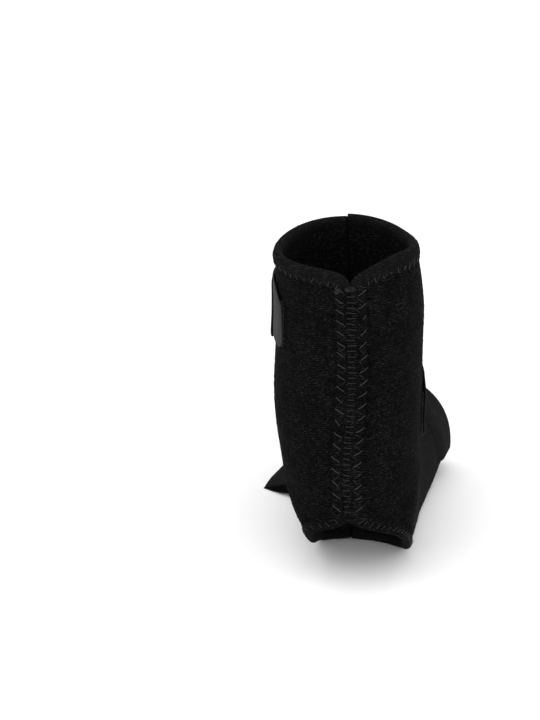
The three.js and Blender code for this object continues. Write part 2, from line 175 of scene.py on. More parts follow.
def half_loop(row, side):
    angle = np.linspace(0, math.pi, 241)
    width = lerp(ANKLE_WIDTH, FOOT_WIDTH, row["foot"]) * row["outer" if side > 0 else "inner"]
    widest = row["wide_out" if side > 0 else "wide_in"]
    at_back = angle <= math.pi / 2
    power = 2 / np.where(at_back, row["back"], row["front"])
    c = np.abs(np.cos(angle)) ** power
    s = np.abs(np.sin(angle)) ** power
    s[0] = s[-1] = 0
    w = np.where(at_back, widest * (1 - c), widest + (1 - widest) * c)
    x = side * width * s + row["centre"] * ANKLE_WIDTH
    y = lerp(row["back_y"], row["front_y"], w) * REACH
    z = pressed(lerp(row["back_z"], row["front_z"], w) * HEIGHT)
    return np.stack([x, y, z], 1)


print("back of the middle loop, mm:", half_loop(table_row(LAST / 2), OUTER)[0].round(1))

# %% The heel hole and places on the surface
def hole_level(p, seam_x):
    """Above zero where the cloth is kept; the rim is a slanted cut with a peak at the seam."""
    on_sole = smooth((p[..., 1] / REACH - HOLE_SOLE) / HOLE_SOLE_RUN)
    x = p[..., 0] - seam_x
    peak = HOLE_PEAK * np.exp(-np.abs(x) / PEAK_HALF)
    tongue = HOLE_TONGUE * (1 - (x / HOLE_HALF_WIDTH) ** 2)
    late = np.maximum(p[..., 1] - HOLE_LATE * REACH, 0)
    y = p[..., 1] - HOLE_EASE * late ** 2 / (late + HOLE_LATE_RUN * REACH)
    return p[..., 2] + HOLE_SLANT * y - HOLE_HEIGHT - lerp(peak, tongue, on_sole)


loops = {}


def loop(t):
    """One whole loop, with lengths measured from the seam, and where the heel hole cuts it."""
    key = round(t, 5)
    if key not in loops:
        row = table_row(t)
        inner, outer = half_loop(row, INNER), half_loop(row, OUTER)
        points = np.vstack([inner[:0:-1], outer])
        along = run_along(points)
        along -= along[len(inner) - 1] + row["seam"] * ANKLE_WIDTH
        found = {"points": points, "along": along}
        loops[key] = found
        found["seam_x"] = on_loop(t, 0)[0]
        found["start"] = {side: rim_start(t, side) for side in (OUTER, INNER)}
        found["end"] = {OUTER: along[-1], INNER: -along[0]}
    return loops[key]


def on_loop(t, d):
    found = loop(t)
    return point_at(d, found["along"], found["points"])


def rim_start(t, side):
    if t <= HOLE_START or t >= HOLE_END:
        return 0.0
    found = loops[round(t, 5)]
    step = 0.25
    d = np.arange(0, 80, step)
    level = hole_level(on_loop(t, side * d), found["seam_x"])
    first = int(np.argmax(level >= 0))
    if first == 0:
        return 0.0
    before, after = level[first - 1], level[first]
    return float(d[first - 1] + step * before / (before - after))


def surface(t, side, d):
    """Points at section t, d millimetres from the seam or the hole's rim."""
    return on_loop(t, side * (loop(t)["start"][side] + np.asarray(d, float)))


def half_length(t, side):
    return loop(t)["end"][side] - loop(t)["start"][side]


def outward(t, side, d):
    at = side * (loop(t)["start"][side] + np.asarray(d, float))
    down = on_loop(t + 0.03, at) - on_loop(t - 0.03, at)
    around = on_loop(t, at + 0.8) - on_loop(t, at - 0.8)
    return unit(np.cross(down, around))


rim_steps = (HOLE_START + HOLE_END) / 2 - 2 * np.cos(np.linspace(0, math.pi, 121))
rim = {side: np.array([surface(t, side, 0) for t in rim_steps]) for side in (OUTER, INNER)}
rim_line = np.vstack([rim[INNER][::-1], rim[OUTER]])
print("heel hole rim, mm round:", round(float(run_along(rim_line)[-1])))

# %% [markdown]
# ## Walls with rolled hems
# A real hem is the cloth folded over and stitched, so the wall gets thicker and round at the edge.
# A bevel would round all edges alike. Instead each point asks how far it is from the nearest edge,
# and that distance sets how far the two faces stand apart.

# %% Distance to the edges and thickness
def hole_distance(p):
    a, b = rim_line[:-1], rim_line[1:]
    ab = b - a
    lengths = np.maximum((ab ** 2).sum(1), 1e-9)
    flat = p.reshape(-1, 3)
    nearest = np.full(len(flat), 1e9)
    for start, way, length in zip(a, ab, lengths):
        f = np.clip(((flat - start) @ way) / length, 0, 1)
        gap = flat - start - f[:, None] * way
        nearest = np.minimum(nearest, (gap ** 2).sum(1))
    return np.sqrt(nearest).reshape(p.shape[:-1])


def edge_half(d, band, wall):
    """Half the thickness at a distance from the edge: round at the rim, then easing to the wall."""
    r = band / 2
    round_end = np.where(d < r, np.sqrt(np.maximum(r * r - (r - d) ** 2, 0)), r)
    return np.maximum(lerp(round_end, wall / 2, smooth((d - HEM_BAND) / 2)), 0.3)


def top_drop(side, share, length):
    """How far the leg rim lies under the first loop: the notch at the back, and a rise beside it."""
    d = share * length
    tip = NOTCH_SHARP * np.exp(-d / NOTCH_TIP)
    notch = NOTCH_DEPTH * (tip + (1 - NOTCH_SHARP) * np.exp(-((d / NOTCH_HALF) ** 1.3)))
    if side < 0:
        return notch
    return notch - OUTER_RISE * smooth(d / RISE_RUN) * (1 - 0.75 * smooth((share - 0.3) / 0.4))

# %% [markdown]
# ## A cloth maker
# Blender's Solidify modifier can thicken a sheet, but hems need a different thickness at each point.
# So one helper takes a grid of points with two offsets, one for each face, and closes the rim.
# It also lays out UVs in millimetres, so a knit row is as wide on a strap as on a panel.

# %% Build a closed cloth from a grid
PLACE = np.zeros(3)
pieces = {}


def grid_normals(grid, side):
    down = np.gradient(grid, axis=0)
    around = np.gradient(grid, axis=1)
    return unit(np.cross(down, around) * side)


def lengths_along(grid, axis):
    steps = np.linalg.norm(np.diff(grid, axis=axis), axis=2)
    zero = np.zeros_like(np.take(steps, [0], axis=axis))
    return np.concatenate([zero, np.cumsum(steps, axis=axis)], axis=axis)


def make_mesh(name, points, faces, uvs):
    mesh = bpy.data.meshes.new(name)
    mesh.from_pydata(((points + PLACE) * MM).tolist(), [], faces)
    mesh.update()
    layer = mesh.uv_layers.new(name="cloth_mm")
    index = np.empty(len(mesh.loops), np.int32)
    mesh.loops.foreach_get("vertex_index", index)
    layer.data.foreach_set("uv", uvs[index].astype(np.float32).ravel())
    mesh.polygons.foreach_set("use_smooth", np.ones(len(mesh.polygons), bool))
    piece = bpy.data.objects.new(name, mesh)
    bpy.context.scene.collection.objects.link(piece)
    pieces[name] = piece
    return piece


def cloth_from_grid(name, grid, low, high, side=1, normals=None, uv=None):
    rows, cols = grid.shape[:2]
    if normals is None:
        normals = grid_normals(grid, side)
    top = grid + normals * high[..., None]
    under = grid + normals * low[..., None]
    points = np.vstack([top.reshape(-1, 3), under.reshape(-1, 3)])
    count = rows * cols
    i, j = np.meshgrid(np.arange(rows - 1), np.arange(cols - 1), indexing="ij")
    a = (i * cols + j).ravel()
    b, c, d = a + cols, a + cols + 1, a + 1
    upper = np.stack([a, b, c, d], 1)
    lower = np.stack([a, d, c, b], 1) + count
    e = np.arange(cols - 1)
    f = np.arange(rows - 1) * cols
    first = np.stack([e, e + 1, e + 1 + count, e + count], 1)
    last = np.stack([e, e + count, e + 1 + count, e + 1], 1) + (rows - 1) * cols
    left = np.stack([f, f + count, f + cols + count, f + cols], 1)
    right = np.stack([f, f + cols, f + cols + count, f + count], 1) + cols - 1
    faces = np.vstack([upper, lower, first, last, left, right])
    if side < 0:
        faces = faces[:, ::-1]
    if uv is None:
        uv = np.stack([lengths_along(grid, 1), lengths_along(grid, 0)], 2)
    flat_uv = uv.reshape(-1, 2)
    piece = make_mesh(name, points, faces.tolist(), np.vstack([flat_uv, flat_uv]))
    print(name, "faces:", len(faces))
    return piece

# %% [markdown]
# ## The two halves of the body
# Each half runs from the back seam round to the front. Much happens at the seam in little room:
# needle holes pull the foam in and the foam between them swells. These are too large to be painted,
# so the rows and columns of the grid are close together near the seam, and the dents are real.

# %% Where the seam's stitches fall
ZIGZAG_OUT = 8.0
ZIGZAG_IN = 2.8
RUNG_PITCH = 3.05
ZIGZAGS = [
    {"side": INNER, "first": 9.4, "pitch_top": 5.7, "pitch_bottom": 7.4},
    {"side": OUTER, "first": 10.2, "pitch_top": 7.5, "pitch_bottom": 6.1},
]

seam_t = np.arange(-0.2, HOLE_START + 0.0001, 0.02)
seam_points = np.array([on_loop(t, 0) for t in seam_t])
seam_length = run_along(seam_points)
seam_length -= np.interp(0, seam_t, seam_length)
SEAM_END = float(np.interp(HOLE_START, seam_t, seam_length))
SEAM_FIRST = 8.5
SEAM_LAST = SEAM_END - 6.0


def seam_at(t):
    return np.interp(t, seam_t, seam_length)


def zigzag_starts(zigzag):
    """Where each downward stroke begins; the pitch changes slowly, as a hand-fed seam's does."""
    starts = [zigzag["first"]]
    while starts[-1] < SEAM_LAST - 2:
        share = starts[-1] / SEAM_END
        starts.append(starts[-1] + lerp(zigzag["pitch_top"], zigzag["pitch_bottom"], share))
    return np.array(starts)


zigzag_runs = {z["side"]: zigzag_starts(z) for z in ZIGZAGS}
print("back seam, mm:", round(SEAM_END), "strokes:", {k: len(v) for k, v in zigzag_runs.items()})

# %% Dents and swellings of the two halves
def spots(s, d, starts, at, width, deep):
    """Round dents at the given places along the seam."""
    nearest = np.abs(s[..., None] - starts).min(-1)
    return -deep * hump(nearest, 0, width) * hump(d, at, width)


def seam_relief(t, d, side):
    """Height added to the outer face: joint, needle dents, and foam puffed up between them."""
    s = seam_at(t)
    inside = smooth((s - SEAM_FIRST) / 3) * smooth((SEAM_END - 5 - s) / 4)
    starts = zigzag_runs[side]
    halves = (starts[1:] + starts[:-1]) / 2
    joint = -0.3 * hump(d, 0, 0.8)
    channels = -0.35 * hump(d, ZIGZAG_OUT + 0.3, 1.2) - 0.25 * hump(d, ZIGZAG_IN + 0.4, 0.9)
    outer_dent = spots(s, d, starts - 1.5, ZIGZAG_OUT + 0.9, 1.25, 1.2)
    inner_dent = spots(s, d, halves + 0.5, ZIGZAG_IN + 0.2, 0.9, 0.6)
    puff = 0.35 * hump(d, (ZIGZAG_IN + ZIGZAG_OUT) / 2 + 0.2, 1.9)
    rungs = 0.16 * np.exp(-((d / 2.6) ** 4)) * np.cos(2 * math.pi * s / RUNG_PITCH)
    relief = joint + channels + outer_dent + inner_dent + puff + rungs
    return np.where(t < HOLE_START + 0.2, relief * inside, 0)


def soft_folds(points):
    """Slow unevenness of worn foam, under half a millimetre."""
    x, y, z = points[..., 0], points[..., 1], points[..., 2]
    slow = np.sin(z / 9.1 + x / 13 + 1.3) + np.sin(z / 15.7 - x / 9 + y / 21)
    return 0.14 * (slow + 0.6 * np.sin(x / 6.3 + y / 8.9))


grain_rng = np.random.default_rng(11)


def loop_grain(shape, size):
    """Small uneven heights, like the heads of the pile's loops."""
    raw = grain_rng.normal(0, 1, shape)
    return size * (raw + np.roll(raw, 1, 1) + 0.5 * np.roll(raw, -1, 0)) / 1.5


print("needle dents on each side:", {k: len(v) for k, v in zigzag_runs.items()})

# %% Rows and columns of a panel's grid
EDGE_STEPS = np.array([2.6, 2.1, 1.4, 0.8, 0.3, 0])
MIDDLE_COLUMNS = 74


def panel_rows():
    """Places of the grid's rows: close together at the rims, the heel and the seam."""
    near = np.array([0, 0.3, 0.8, 1.4, 2.1, 2.9, 3.8, 4.7, 5.5, 6.3, 7.2]) / TOP_SPACING
    leg = np.arange(0.31, 4.8, 0.031)
    heel = np.concatenate([np.arange(4.8, 5.0, 0.02), 5 + 0.5 * np.linspace(0, 1, 22) ** 1.6])
    side = np.arange(5.54, 8.5, 0.055)
    lip = 9 - 0.5 * np.linspace(1, 0, 20) ** 1.6
    foot = np.arange(9.04, LAST - 0.09, 0.045)
    toe = LAST - EDGE_STEPS / TOE_SPACING
    return np.unique(np.round(np.concatenate([near, leg, heel, side, lip, foot, toe]), 5))


def panel_columns(length):
    seam_side = np.concatenate([[0, 0.35], np.arange(0.8, 12.2, 0.6)])
    front_side = length - EDGE_STEPS
    middle = np.linspace(seam_side[-1], front_side[0], MIDDLE_COLUMNS + 2)[1:-1]
    return np.concatenate([seam_side, middle, front_side])


def panel_grid(side):
    """Points, normals, sections, distances from seam and front, distance from the top, and UVs."""
    rows = panel_rows()
    grid, normals, section, across, top, uv = [], [], [], [], [], []
    for row in rows:
        rough = half_length(row, side)
        d = panel_columns(rough)
        if row < 1:
            drop = top_drop(side, d / rough, rough) / TOP_SPACING
            t = drop + row * (1 - drop)
            lengths = np.array([half_length(v, side) for v in t])
            d = d / rough * lengths
            grid.append(np.array([surface(v, side, w) for v, w in zip(t, d)]))
            normals.append(np.array([outward(v, side, w) for v, w in zip(t, d)]))
        else:
            t = np.full(len(d), row)
            lengths = np.full(len(d), rough)
            grid.append(surface(row, side, d))
            normals.append(outward(row, side, d))
        section.append(t)
        across.append(np.stack([d, lengths - d], 1))
        top.append(np.full(len(d), row * TOP_SPACING))
        start = loop(row)["start"][side]
        uv.append(np.stack([side * (start + d), t * TOP_SPACING], 1))
    return [np.array(v) for v in (grid, normals, section, across, top, uv)]


print("rows of a panel:", len(panel_rows()), "columns:", len(panel_columns(120)))

# %% Make the two panels
HEM_NEAR, HEM_FAR, HEM_PITCH = 3.8, 8.0, 4.3
HEM_SHIFT = {OUTER: 0, INNER: 1.7}
SMOOTH_BELOW, SMOOTH_FROM = 70, 22
LEG_HEM_SMOOTH = 0.45


def along_hem(t, d, side):
    """Length along the nearest hem: round the top, or round the heel hole."""
    return np.where(t < 3, d, 15 * (t - HOLE_START) + 0.6 * d) + HEM_SHIFT[side]


def hem_relief(hem, run):
    """The stitched line sinks in, and the foam stands up in small pillows between the stitches."""
    beat = 2 * math.pi * run / HEM_PITCH
    line = -0.25 * hump(hem, HEM_FAR + 0.6, 1.5)
    pillows = 0.34 * np.cos(beat) * hump(hem, 6.4, 2.6)
    pits = -0.7 * hump(hem, HEM_FAR + 0.6, 1.1) * smooth(np.cos(beat + 2.4) - 0.2)
    return line + pillows + pits


def add_mask(piece, name, values):
    """Keeps one number for each point, the same on both faces, for a material to read."""
    layer = piece.data.attributes.new(name, "FLOAT", "POINT")
    flat = np.asarray(values, np.float32).ravel()
    layer.data.foreach_set("value", np.concatenate([flat, flat]))


def make_panel(name, side):
    grid, normals, t, across, top, uv = panel_grid(side)
    hole = hole_distance(grid)
    rimmed = edge_half(np.minimum(top, hole), HEM, WALL)
    cut = np.minimum(across[..., 1], (LAST - t) * TOE_SPACING)
    plain = edge_half(cut, WALL, WALL)
    half = np.minimum(rimmed, np.where(plain < WALL / 2 - 1e-6, plain, rimmed))
    hem = np.minimum(top, hole)
    clear = smooth((hem - 3) / 5) * smooth(cut / 4)
    grain = loop_grain(grid.shape[:2], 0.07) * smooth(hem / 1.5) * smooth(cut / 2)
    high = half - WALL / 2 + seam_relief(t, across[..., 0], side) + soft_folds(grid) * clear
    high += grain + hem_relief(hem, along_hem(t, across[..., 0], side))
    down = -normals[..., 2]
    room = np.where(down > 0.02, grid[..., 2] / np.maximum(down, 0.02), HEM)
    high = np.minimum(high, room)
    panel = cloth_from_grid(name, grid, -WALL / 2 - half, high, side, normals, uv)
    foot_side = smooth((SMOOTH_BELOW - grid[..., 2]) / 25) * smooth((grid[..., 1] - SMOOTH_FROM) / 16)
    leg_hem = LEG_HEM_SMOOTH * (1 - smooth((top - 5.5) / 5))
    add_mask(panel, "smooth_part", np.maximum(leg_hem, foot_side))
    return panel


outer_cloth = make_panel("outer_panel_cloth", OUTER)
inner_cloth = make_panel("inner_panel_cloth", INNER)

# %% [markdown]
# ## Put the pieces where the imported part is
# The table's zero is at the back of the heel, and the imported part's is at the middle of the floor.
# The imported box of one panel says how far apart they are, so nothing is fitted by eye.

# %% Move into the part's frame
_, packed_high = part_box("outer_panel")
own = np.array([v.co for v in outer_cloth.data.vertices])
PLACE = np.array([packed_high[0] - own[:, 0].max(), packed_high[1] - own[:, 1].max(), 0.0]) / MM
for piece in (outer_cloth, inner_cloth):
    for vertex in piece.data.vertices:
        vertex.co += Vector(PLACE * MM)
    piece.data.update()
print("offset of the frame, mm:", np.round(PLACE, 2))

# %% [markdown]
# ## Thread
# A stitch is a short piece of thread that dives into the cloth at both ends.
# Curves with a bevel would do, but hundreds of them are slow.
# So each stitch is a small six-sided tube, and all of one kind are joined in one mesh.
# A tree of the cloth's faces finds the nearest spot on it, so that thread follows every dent.

# %% Tubes of thread and a way to find the cloth under them
def cloth_tree(*cloths):
    points, faces = [], []
    for cloth in cloths:
        base = len(points)
        points += [v.co.copy() for v in cloth.data.vertices]
        faces += [[base + k for k in p.vertices] for p in cloth.data.polygons]
    return BVHTree.FromPolygons(points, faces)


body_tree = cloth_tree(outer_cloth, inner_cloth)


def cloth_under(point):
    """The body's nearest spot, its normal, and the point's height above it in millimetres."""
    spot = Vector((np.asarray(point) + PLACE) * MM)
    place, normal, _, _ = body_tree.find_nearest(spot)
    return place, normal, float((spot - place) @ normal) / MM


def laid_on(point, height):
    """A point moved to the given height above the body."""
    place, normal, _ = cloth_under(point)
    return np.array(place + normal * height * MM) / MM - PLACE


class ThreadBasket:
    """Collects tubes of thread and joins them into one mesh."""

    def __init__(self):
        self.points, self.faces, self.uvs = [], [], []

    def add(self, path, radius, sides=6):
        path = np.asarray(path, float)
        way = unit(np.gradient(path, axis=0))
        across = unit(np.cross(way, np.array([0.3, 0.5, 0.8])))
        third = np.cross(way, across)
        start = len(self.points)
        run = run_along(path)
        for k, p in enumerate(path):
            thin = 0.6 if k in (0, len(path) - 1) else 1.0
            for m in range(sides):
                angle = 2 * math.pi * m / sides
                offset = math.cos(angle) * across[k] + math.sin(angle) * third[k]
                self.points.append(p + radius * thin * offset)
                self.uvs.append((run[k], angle * radius))
        for k in range(len(path) - 1):
            for m in range(sides):
                n = (m + 1) % sides
                a, b = start + k * sides, start + (k + 1) * sides
                self.faces.append([a + m, a + n, b + n, b + m])
        self.faces.append([start + m for m in range(sides)][::-1])
        self.faces.append([start + (len(path) - 1) * sides + m for m in range(sides)])

    def mesh(self, name):
        piece = make_mesh(name, np.array(self.points), self.faces, np.array(self.uvs))
        print(name, "stitch faces:", len(self.faces))
        return piece


STITCH_SINK = 0.7
STITCH_STEPS = np.linspace(0.04, 0.96, 9)


def stitch(basket, start, end, radius, lift, fall):
    """A tight thread: straight from hole to hole, lifted only where the cloth stands higher."""
    ends = [laid_on(start, lift), laid_on(end, lift - fall)]
    path = [laid_on(start, -STITCH_SINK)]
    for f in STITCH_STEPS:
        point = lerp(ends[0], ends[1], f)
        lowest = lift - fall * f - 0.2
        path.append(point if cloth_under(point)[2] > lowest else laid_on(point, lowest))
    path.append(laid_on(end, -STITCH_SINK))
    basket.add(path, radius)

# %% [markdown]
# ## Loose ends of yarn
# Worn looped knit sheds short ends, which stand off the surface and soften its outline.
# A hair system would make them at render time only. Short tubes rooted in the cloth are real shapes,
# so they are part of the mesh itself. They are sown at random, with a fixed seed.

# %% Sow the fibres
FIBRE_CLEAR = 0.8
FIBRES_EACH = 4200
RIM_FACES = 400


def sow_fibres(basket, cloth, outer_faces, count, chance):
    """Short bent ends of yarn on the outer face of a cloth, sown by area."""
    mesh = cloth.data
    areas = np.array([p.area for p in mesh.polygons[:outer_faces]])
    chosen = chance.choice(outer_faces, count, p=areas / areas.sum())
    for face in chosen:
        polygon = mesh.polygons[int(face)]
        root = np.array(polygon.center) / MM - PLACE + chance.normal(0, 0.3, 3)
        normal = np.array(polygon.normal)
        lean = chance.normal(0, 1, 3)
        lean = unit(lean - normal * (lean @ normal))
        length = chance.uniform(0.5, 1.2)
        rise = chance.uniform(0.1, 0.55) * length
        middle = root + lean * length * 0.45 + normal * rise
        tip = root + lean * length + normal * rise * chance.uniform(0.6, 1.3)
        if min(root[2], middle[2], tip[2]) > FIBRE_CLEAR:
            basket.add([root - normal * 0.15, middle, tip], 0.045, sides=3)


fibre_basket = ThreadBasket()
fibre_chance = np.random.default_rng(23)
for cloth in (outer_cloth, inner_cloth):
    one_face = len(cloth.data.polygons) // 2 - RIM_FACES
    sow_fibres(fibre_basket, cloth, one_face, FIBRES_EACH, fibre_chance)
fibre_piece = fibre_basket.mesh("loose_fibres")

# %% [markdown]
# ## The back seam
# Three runs hold the halves together: rungs straight across the joint, and a zigzag on each side.
# The downward stroke of each zigzag starts on top, where it catches the light, and sinks in the pile;
# a lighter copy of the black thread is its painted highlight. The return stroke is almost buried, so it
# gets less height and a darker copy of the thread, painted shade; the rungs get that darker copy too.

# %% Stitch the back seam
rng = np.random.default_rng(7)
# One black thread in two baskets: a lighter copy as painted highlight, a darker copy as painted shade.
painted_lit_thread = ThreadBasket()
painted_shade_thread = ThreadBasket()
RUNGS_FROM = 11.0


def jitter(size):
    return rng.normal(0, size)


def seam_spot(s, across):
    t = float(np.interp(s, seam_length, seam_t))
    side = OUTER if across >= 0 else INNER
    return surface(t, side, abs(across))


def sew(basket, start, end, radius, lift, fall):
    """A stitch at the seam; both ends are given as millimetres down the seam and across it."""
    stitch(basket, seam_spot(*start), seam_spot(*end), radius, lift, fall)


def sew_zigzag(side):
    starts = zigzag_runs[side]
    for s, after in zip(starts[:-1], starts[1:]):
        s += jitter(0.2)
        half = (after - s) * 0.5
        out = ZIGZAG_OUT + jitter(0.25)
        inn = ZIGZAG_IN + 0.4 + abs(jitter(0.6))
        lift = 0.36 + jitter(0.05)
        fall = 0.05 + abs(jitter(0.18))
        for strand in (-0.12, 0.12):
            top = (s + strand, side * out)
            middle = (s + half * 0.95 + strand * 0.6, side * inn)
            sew(painted_lit_thread, top, middle, 0.13, lift, fall)
        near = (s + half + 0.3, side * (ZIGZAG_IN + abs(rng.normal(0.3, 0.5))))
        low = (after - 0.5, side * (ZIGZAG_OUT - 1.4 + jitter(0.3)))
        sew(painted_shade_thread, near, low, 0.14, 0.24 + jitter(0.07), 0.3)


def sew_rungs():
    s = RUNGS_FROM
    while s < SEAM_LAST + 1.5:
        share = s / SEAM_END
        left = -lerp(2.3, 1.9, share) + jitter(0.2)
        right = lerp(2.4, 1.5, share) + jitter(0.3)
        slope = rng.normal(0.1, 0.2)
        for strand in (-0.2, 0.18):
            a = (s + strand - slope, left + jitter(0.2))
            b = (s + strand * 0.7 + slope, right + jitter(0.2))
            sew(painted_shade_thread, a, b, 0.13, 0.28 + jitter(0.07), 0.1)
        if rng.uniform() < 0.7:
            a = (s + RUNG_PITCH / 2, right - 1.6 + jitter(0.3))
            b = (s + RUNG_PITCH / 2 + rng.normal(0.3, 0.2), right + 0.7 + jitter(0.2))
            sew(painted_shade_thread, a, b, 0.12, 0.14, 0.2)
        s += RUNG_PITCH + jitter(0.12)


def sew_notch():
    """A bar of close stitches under the notch, and a bundle where the inner hem is tied off."""
    for k in range(9):
        s = SEAM_FIRST - 0.1 + 0.24 * k + jitter(0.06)
        a = (s + 0.5 + jitter(0.15), -2.8 + jitter(0.45))
        m = (s + 0.1, jitter(0.5))
        b = (s + 0.3 + jitter(0.15), 2.8 + jitter(0.45))
        height = 0.42 - 0.05 * abs(k - 4) + jitter(0.1)
        sew(painted_shade_thread, a, m, 0.14, height, -0.1)
        sew(painted_shade_thread, m, b, 0.14, height + 0.1, 0.15)
    for k in range(6):
        a = (11.6 + 0.34 * k, -9.0 + 0.2 * k + jitter(0.15))
        b = (8.9 + 0.34 * k, -5.4 + 0.15 * k + jitter(0.15))
        sew(painted_shade_thread, a, b, 0.15, 0.4, 0.1)
    sew(painted_lit_thread, (7.4, 4.6), (9.4, 7.4), 0.14, 0.3, 0.1)


for seam_side in (OUTER, INNER):
    sew_zigzag(seam_side)
sew_rungs()
sew_notch()
zigzag_piece = painted_lit_thread.mesh("back_seam_zigzag")
ladder_piece = painted_shade_thread.mesh("back_seam_ladder")

# %% [markdown]
# ## Hem stitches
# The rolled hems are held by a zigzag just inside the roll. Most of it is lost in the pile,
# and only the steep strokes show. Round the heel the strokes stand closer and lean away from the seam.

# %% Stitch the hems
# The shown strokes take the lighter thread copy, a painted highlight; the sunk return strokes take the
# darker copy, painted shade.
hem_thread, painted_shade_hem_thread = ThreadBasket(), ThreadBasket()


def top_hem_spot(side, length, d, below):
    drop = float(top_drop(side, d / length, length)) / TOP_SPACING
    return surface(drop + below / TOP_SPACING * (1 - drop), side, d)


def sew_top_hem(side):
    length = half_length(0.3, side)
    for k in range(2, int((length - 6) / HEM_PITCH)):
        d = k * HEM_PITCH + jitter(0.35) - HEM_SHIFT[side]
        lean = rng.normal(0.8, 0.3)
        a = top_hem_spot(side, length, d - lean, HEM_NEAR + jitter(0.4))
        b = top_hem_spot(side, length, d + lean, HEM_FAR + jitter(0.4))
        c = top_hem_spot(side, length, d + HEM_PITCH - lean, HEM_NEAR)
        visible = lerp(a, b, 0.1 + rng.uniform(0, 0.3))
        stitch(hem_thread, visible, b, 0.14, 0.2 + jitter(0.08), 0.1)
        stitch(painted_shade_hem_thread, b, c, 0.13, jitter(0.1), 0.2)


def sew_heel_hem(side, pitch):
    line = rim[side]
    run = run_along(line)
    middle = np.array([on_loop(6, 0)[0], 0.35 * REACH, 0.33 * HEIGHT])

    def spot(s, inward):
        here, after = point_at(s, run, line), point_at(s + 0.5, run, line)
        way = np.cross(unit(here - middle), after - here) * side
        return here + unit(way) * inward

    s = 5.0
    while s < run[-1] - 3:
        a, b = spot(s, 2.6 + jitter(0.3)), spot(s + 1.8, 6.4 + jitter(0.5))
        if min(a[2], b[2]) > 4:
            stitch(hem_thread, b, a, 0.12, 0.22 + jitter(0.06), 0.15)
        s += pitch + jitter(0.2)


for hem_side, hem_pitch in ((OUTER, 3.3), (INNER, 4.8)):
    sew_top_hem(hem_side)
    sew_heel_hem(hem_side, hem_pitch)
hem_piece = hem_thread.mesh("hem_thread")
dull_hem_piece = painted_shade_hem_thread.mesh("hem_thread_low")

# %% [markdown]
# ## Straps and hook tabs
# A strap is a band laid on the body. Its middle follows the table, and its edges are found by walking
# half a strap's width up and down the surface, so it is as wide on the narrow ankle as on the calf.
# A hook tab is a thinner band that starts under its strap, and its tip stands a little off the body.

# %% Bands laid on the body
WALK = np.arange(-0.2, LAST + 0.001, 0.02)
ANKLE_STRAP = {"start": 0.42, "end": -0.478, "middle_start": 1.32, "middle_end": 1.49,
               "tab_drop": -0.19, "tab_reach": 25.3, "peel": 0.6}
LOWER_STRAP = {"start": -0.38, "end": 0.37, "middle_start": 3.55, "middle_end": 3.74,
               "tab_drop": 0.0, "tab_reach": 24.0, "peel": 0.9}
STRAP_CORNER, TAB_CORNER, TAB_CHAMFER = 6.0, 6.0, 9.0
TAB_RAMP, PEEL_RUN = 9.0, 9.0
SEWN_LINE = 3.0


def from_front(t, share):
    side = OUTER if share >= 0 else INNER
    return surface(t, side, half_length(t, side) * (1 - abs(share)))


def column_across(share, middle, offsets):
    line = np.array([from_front(t, share) for t in WALK])
    run = run_along(line)
    here = np.interp(middle, WALK, run)
    return point_at(here + offsets, run, line)


def end_half(full, left, corner, straight=False):
    """Half the width near an end with a round or a cut-off corner; left is the length still to go."""
    f = max(1 - left / corner, 0)
    return full / 2 - corner * (f if straight else 1 - math.sqrt(max(1 - f * f, 0)))


ACROSS = np.sin(np.linspace(-math.pi / 2, math.pi / 2, 33))
EDGE_THIN = np.clip((1 - np.abs(ACROSS)) / 0.045, 0, 1) ** 0.5


def make_band(name, shares, middles, halves, lift, thick, way, relief=None):
    """A band from columns; halves holds the half width above and below the middle of each."""
    offsets = [np.where(ACROSS < 0, ACROSS * up, ACROSS * down) for up, down in halves]
    grid = np.stack([column_across(*v) for v in zip(shares, middles, offsets)], 1)
    half = thick / 2 * (0.4 + 0.6 * EDGE_THIN)[:, None] * np.ones(len(shares))
    middle = np.asarray(lift)[None, :] + thick / 2
    high = middle + half
    if relief is not None:
        high = high + relief(np.array(offsets).T, lengths_along(grid, 1))
    return cloth_from_grid(name, grid, middle - half, high, way)


print("points across a band:", len(ACROSS))

# %% Make the straps and their tabs
def strap_relief(across, run):
    """A sewn line pressed in beside each edge, and slow waves where the elastic is drawn tight."""
    edge = STRAP_WIDTH / 2 - np.abs(across)
    line = -0.2 * hump(edge, SEWN_LINE, 0.6) * (0.7 + 0.3 * np.cos(run * 2.6))
    waves = 0.12 * np.sin(run / 4.3 + 0.05 * across) * np.sin(across / 7 + run / 11)
    return line + waves * smooth(edge / 4)


def reach_of(spec):
    """Which way a strap runs, and its millimetres for each share of a half loop."""
    way = 1 if spec["end"] > spec["start"] else -1
    return way, half_length(spec["middle_end"], OUTER if spec["end"] >= 0 else INNER)


def eased(plain, close, share, power):
    """Shares from 0 to 1: evenly spaced, then closer and closer over the last part, for a round end."""
    last = 1 - share * np.linspace(1, 0, close)[1:] ** power
    return np.concatenate([np.linspace(0, 1 - share, plain), last])


def make_strap(name, spec):
    way, per_share = reach_of(spec)
    count = int(abs(spec["end"] - spec["start"]) * per_share / 1.4)
    ease = eased(count, 14, 0.06, 1.5)
    shares = lerp(spec["start"], spec["end"], ease)
    left = np.abs(spec["end"] - shares) * per_share
    middles = lerp(spec["middle_start"], spec["middle_end"], ease)
    halves = [(end_half(STRAP_WIDTH, v, STRAP_CORNER),) * 2 for v in left]
    lift = GAP + (TAB_THICK + GAP) * smooth((TAB_LAP + TAB_RAMP - left) / (TAB_RAMP - 1))
    return make_band(name, shares, middles, halves, lift, STRAP_THICK, -way, strap_relief)


def tab_halves(left):
    """Half widths above and below a tab's middle: one corner is cut off and the other is round."""
    return end_half(TAB_WIDTH, left, TAB_CHAMFER, True), end_half(TAB_WIDTH, left, TAB_CORNER)


def tab_shares(spec):
    way, per_share = reach_of(spec)
    return spec["end"] - way * TAB_LAP / per_share, spec["end"] + way * spec["tab_reach"] / per_share


